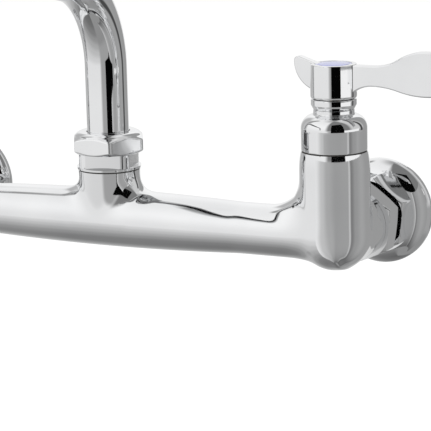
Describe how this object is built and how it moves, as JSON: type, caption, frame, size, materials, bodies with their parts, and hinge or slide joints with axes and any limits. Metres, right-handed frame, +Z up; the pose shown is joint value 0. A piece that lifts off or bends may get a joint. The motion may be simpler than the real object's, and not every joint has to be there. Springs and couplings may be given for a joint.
{
  "type": "wall mounted sink faucet",
  "caption": "Commercial wall-mounted sink faucet: cast bar body with quarter-turn lever valves, a swinging gooseneck-start spout and flanged union inlets.",
  "frame": {"origin": "on the wall, midway between the two inlets, level with their axes", "axes": "+X along the bar to the right of a user who faces the wall, -Y out of the wall towards the user, +Z up"},
  "size_m": [0.3262, 0.2674, 0.1625],
  "materials": {
    "chrome": "polished plating",
    "brass": "machined",
    "stainless": "machined",
    "rubber": "moulded",
    "fibre": "pressed fibre",
    "ceramic": "lapped",
    "slip_plastic": "moulded",
    "hot_index": "moulded",
    "cold_index": "moulded"
  },
  "bodies": {
    "faucet": {"faucet_body": "chrome", "coupling_nut_left": "chrome", "coupling_washer_left": "rubber", "union_tail_left": "brass", "inlet_flange_left": "chrome", "seat_seal_left": "rubber", "fixed_disc_left": "ceramic", "cartridge_sleeve_left": "slip_plastic", "bonnet_gasket_left": "fibre", "bonnet_left": "chrome", "gland_nut_left": "chrome", "coupling_nut_right": "chrome", "coupling_washer_right": "rubber", "union_tail_right": "brass", "inlet_flange_right": "chrome", "seat_seal_right": "rubber", "fixed_disc_right": "ceramic", "cartridge_sleeve_right": "slip_plastic", "bonnet_gasket_right": "fibre", "bonnet_right": "chrome", "gland_nut_right": "chrome", "adapter_gasket": "fibre", "spout_adapter": "chrome", "spout_orings": "rubber", "spout_slip_ring": "slip_plastic", "spout_nut": "chrome"},
    "hot_handle": {"moving_disc_left": "ceramic", "stem_left": "brass", "thrust_washer_left": "slip_plastic", "stem_orings_left": "rubber", "lever_handle_left": "chrome", "handle_screw_left": "stainless", "index_button_left": "hot_index"},
    "cold_handle": {"moving_disc_right": "ceramic", "stem_right": "brass", "thrust_washer_right": "slip_plastic", "stem_orings_right": "rubber", "lever_handle_right": "chrome", "handle_screw_right": "stainless", "index_button_right": "cold_index"},
    "spout": {"spout_tube": "chrome", "spout_collar": "brass", "outlet_fitting": "brass", "aerator_housing": "chrome", "aerator_insert": "slip_plastic", "aerator_screen": "stainless", "aerator_washer": "rubber"}
  },
  "joints": [
    {"name": "hot_handle_turn", "type": "hinge", "parent": "faucet", "child": "hot_handle", "pos_m": [-0.1016, -0.052, 0.06], "axis": [0, 0, 1], "range_deg": [0, 90]},
    {"name": "cold_handle_turn", "type": "hinge", "parent": "faucet", "child": "cold_handle", "pos_m": [0.1016, -0.052, 0.06], "axis": [0, 0, -1], "range_deg": [0, 90]},
    {"name": "spout_swing", "type": "hinge", "parent": "faucet", "child": "spout", "pos_m": [0, -0.052, 0.03], "axis": [0, 0, 1], "range_deg": [-100, 100]}
  ]
}
